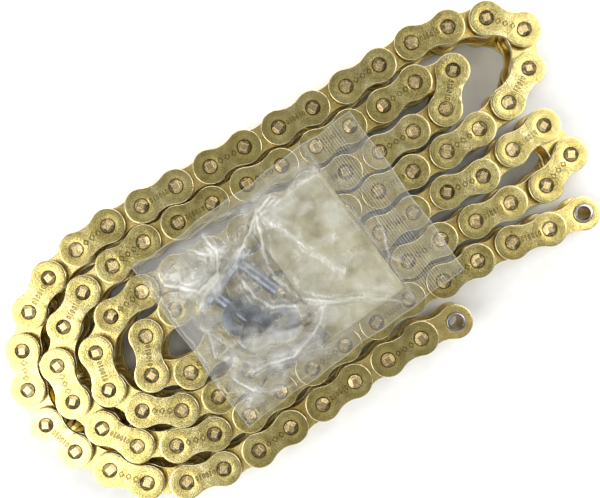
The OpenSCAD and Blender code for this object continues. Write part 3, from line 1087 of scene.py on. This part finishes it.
def makeFilm(name, look):
    # Blown low-density polyethylene film: clear and faintly blue where it lies flat, milky with painted sheen on
    # loose facets, white along its folds from whitening and painted glints, glossy with soft ripples, and finely
    # ribbed along the track
    material, add, shader = newMaterial(name)
    spot = add("Attribute", {"attribute_name": "spot"}, {}).outputs["Vector"]
    foldWhiteAndGlintShare, hazeAndSheenShare, inTrack = (
        add("Attribute", {"attribute_name": name}, {}).outputs["Fac"]
        for name in ("crease", "milk", "track")
    )
    across = add("SeparateXYZ", {}, {"Vector": spot}).outputs["X"]
    phase = add("Math", multiply, {0: across, 1: fullTurn / look["trackStep"]})
    wave = add("Math", {"operation": "SINE"}, {0: phase})
    ribs = add("Math", multiply, {0: wave, 1: inTrack})
    haze = add("TexNoise", {}, {
        "Vector": spot, "Scale": 1 / look["hazeSize"], "Detail": 6.0, "Roughness": 0.65, "Distortion": 0.8,
    })
    drift = add("MapRange", {}, {
        "Value": haze, "From Min": noiseLow, "From Max": noiseHigh,
        "To Min": look["hazeLow"], "To Max": look["hazeHigh"],
    })
    resting = add("Math", plus, {0: hazeAndSheenShare, 1: look["clear"]})
    veiled = add("Math", multiply, {0: resting, 1: drift})
    ribbed = add("Math", multiplyAdd, {0: ribs, 1: look["trackCover"], 2: veiled})
    # The film grows whiter along folds: partly whitening, partly painted glints
    alpha = add("Math", dict(multiplyAdd, use_clamp=True), {0: foldWhiteAndGlintShare, 1: look["foldWhiteAndGlint"], 2: ribbed})
    ripples = add(
        "TexNoise", {}, {"Vector": spot, "Scale": 1 / look["rippleSize"], "Detail": 3.0, "Distortion": 0.8},
    )
    rough = add(
        "MapRange", {}, {"Value": ripples, "To Min": look["smooth"], "To Max": look["dull"]},
    )
    relief = add("Math", multiplyAdd, {0: ribs, 1: look["trackRelief"], 2: ripples})
    bump = add("Bump", {}, {"Height": relief, "Distance": look["rippleDepth"] * mm, "Strength": 1.0})
    setInputs(shader, {
        "Base Color": linear(look["film"]), "Alpha": alpha, "Roughness": rough, "Normal": bump,
        "IOR": 1.51, "Specular IOR Level": 1.0, "Coat Weight": 1.0, "Coat Roughness": 0.08,
    })
    return material


bagFilm.data.materials.append(makeFilm("blownPolyethylene", filmLook))
installPiece(bagFilm, "kit_bag")

# Grease sachet: a flat pouch with crimped edges
sachetShape = {  # millimetres
    "cell": 0.9, "crimp": 4.0, "crimpStep": 1.3, "crimpHigh": 0.1, "edgeThick": 0.35, "lift": 0.15,
    "puffReach": 9, "flattest": 0.72, "lumps": ((0.7, 11, 1.3, 30), (0.3, 4, 1.3, 70)),
}
sachetLow, sachetHigh = contentSpots["kit_sachet"].min(0), contentSpots["kit_sachet"].max(0)
s, t = np.meshgrid(*(
    np.linspace(low, high, int((high - low) / sachetShape["cell"]) + 1)
    for low, high in zip(sachetLow[:2], sachetHigh[:2])
))
inset = np.minimum.reduce([s - sachetLow[0], sachetHigh[0] - s, t - sachetLow[1], sachetHigh[1] - t])
puff = smoothStep(inset, sachetShape["crimp"] - 1, sachetShape["crimp"] + sachetShape["puffReach"])
base = sachetLow[2] + sachetShape["lift"]
edgeTop = base + sachetShape["edgeThick"]
thick = sachetHigh[2] - edgeTop - 0.2
lumps = facetSum(s, t, sachetShape["lumps"])
crimp = sachetShape["crimpHigh"] * np.sin(t * fullTurn / sachetShape["crimpStep"]) * (1 - puff)
filled = sachetShape["flattest"] + (1 - sachetShape["flattest"]) * lumps
sachet = gridShell("sachet_piece", s, t, edgeTop + crimp + puff * thick * filled, base + crimp * 0.5)

sachetLook = {
    "shade": "#827a54", "cream": "#a39d7a", "pale": "#bcb69c", "tonesAt": (0.34, 0.5, 0.68), "mottle": 11.0,
    "smooth": 0.25, "rough": 0.55, "wrinkleSize": 2.0, "wrinkleDepth": 0.25,
}


def makeSachetFilm(name, look):
    # Laminated sachet film over yellow grease: cream, satin, with darker greasy mottles and small wrinkles
    material, add, shader = newMaterial(name)
    spot = add("Attribute", {"attribute_name": "spot"}, {}).outputs["Vector"]
    blotch = add(
        "TexNoise", {}, {"Vector": spot, "Scale": 1 / look["mottle"], "Detail": 5.0, "Roughness": 0.6},
    )
    stops = toneStops(look, ("shade", "cream", "pale"))
    colour = add("ValToRGB", {"stops": stops}, {"Fac": blotch})
    rough = add(
        "MapRange", {}, {"Value": blotch, "To Min": look["smooth"], "To Max": look["rough"]},
    )
    wrinkles = add(
        "TexNoise", {}, {"Vector": spot, "Scale": 1 / look["wrinkleSize"], "Detail": 3.0},
    )
    bump = add("Bump", {}, {"Height": wrinkles, "Distance": look["wrinkleDepth"] * mm, "Strength": 1.0})
    setInputs(shader, {"Base Color": colour, "Roughness": rough, "Normal": bump, "IOR": 1.5})
    return material


sachet.data.materials.append(makeSachetFilm("laminatedSachetFilm", sachetLook))
installPiece(sachet, "kit_sachet")
print("sachet made")

# Floor, light and camera
studio = {  # metres, degrees, and millimetres for lookAt
    "worldGrey": 0.38, "floorHalf": 3, "paper": ("#f5f5f3", "#fbfbfa"),
    "cameraHeight": 0.3567, "lens": 50, "rowsRise": 31.08, "lookAt": (0.610, 6.535),
}
floorMesh = bpy.data.meshes.new("studioFloor")
far = studio["floorHalf"]
floorMesh.from_pydata([(-far, -far, 0), (far, -far, 0), (far, far, 0), (-far, far, 0)], [], [(0, 1, 2, 3)])
floor = addObject("studioFloor", floorMesh)
floorMaterial, add, floorShader = newMaterial("mattPaper")
fibres = add("TexNoise", {}, {"Scale": 900.0, "Detail": 2.0})
stops = list(zip((noiseLow, noiseHigh), map(linear, studio["paper"])))
paper = add("ValToRGB", {"stops": stops}, {"Fac": fibres})
setInputs(floorShader, {"Base Color": paper, "Roughness": 0.9})
floorMesh.materials.append(floorMaterial)
floor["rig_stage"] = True

world = bpy.data.worlds.new("studioWorld")
bpy.context.scene.world = world
world.use_nodes = True
sky = (studio["worldGrey"],) * 3 + (1,)
setInputs(world.node_tree.nodes["Background"], {"Color": sky, "Strength": 1.0})

rise = math.radians(studio["rowsRise"])
right = Vector((math.cos(rise), -math.sin(rise), 0))  # the camera's right and up, on the table
up = Vector((math.sin(rise), math.cos(rise), 0))
aim = Vector((studio["lookAt"][0], studio["lookAt"][1], 0)) * mm

lamps = [  # (right, up, height, width, depth, glow): metres, and how bright the box's face is
    (-0.67, -0.36, 0.9, 0.7, 0.8, 4.2),
    (0.8, 0.36, 0.9, 0.55, 0.9, 3.8),
    (0.0, 0.95, 0.75, 1.6, 0.5, 3.4),
    (0.0, -1.0, 0.75, 1.6, 0.5, 1.8),
    (-1.3, 0.5, 0.5, 0.5, 1.2, 1.2),
]
for i, (x, y, z, wide, deep, glow) in enumerate(lamps):
    light = bpy.data.lights.new(f"softbox{i}", "AREA")
    light.shape = "RECTANGLE"
    light.size = wide
    light.size_y = deep
    light.energy = glow * math.pi * wide * deep
    lamp = addObject(f"softbox{i}", light)
    lamp.location = aim + right * x + up * y + Vector((0, 0, z))
    lamp.rotation_mode = "QUATERNION"
    lamp.rotation_quaternion = (aim - lamp.location).to_track_quat("-Z", "Y")

cameraData = bpy.data.cameras.new("camera")
cameraData.lens = studio["lens"]
cameraData.sensor_width = 36
cameraData.clip_start = 0.01
camera = addObject("camera", cameraData)
camera.matrix_world = Matrix((
    (right.x, up.x, 0, aim.x), (right.y, up.y, 0, aim.y), (0, 0, 1, studio["cameraHeight"]), (0, 0, 0, 1),
))
bpy.context.scene.camera = camera
bpy.context.scene.view_settings.view_transform = "Standard"
print("stage set")

low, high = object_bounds()
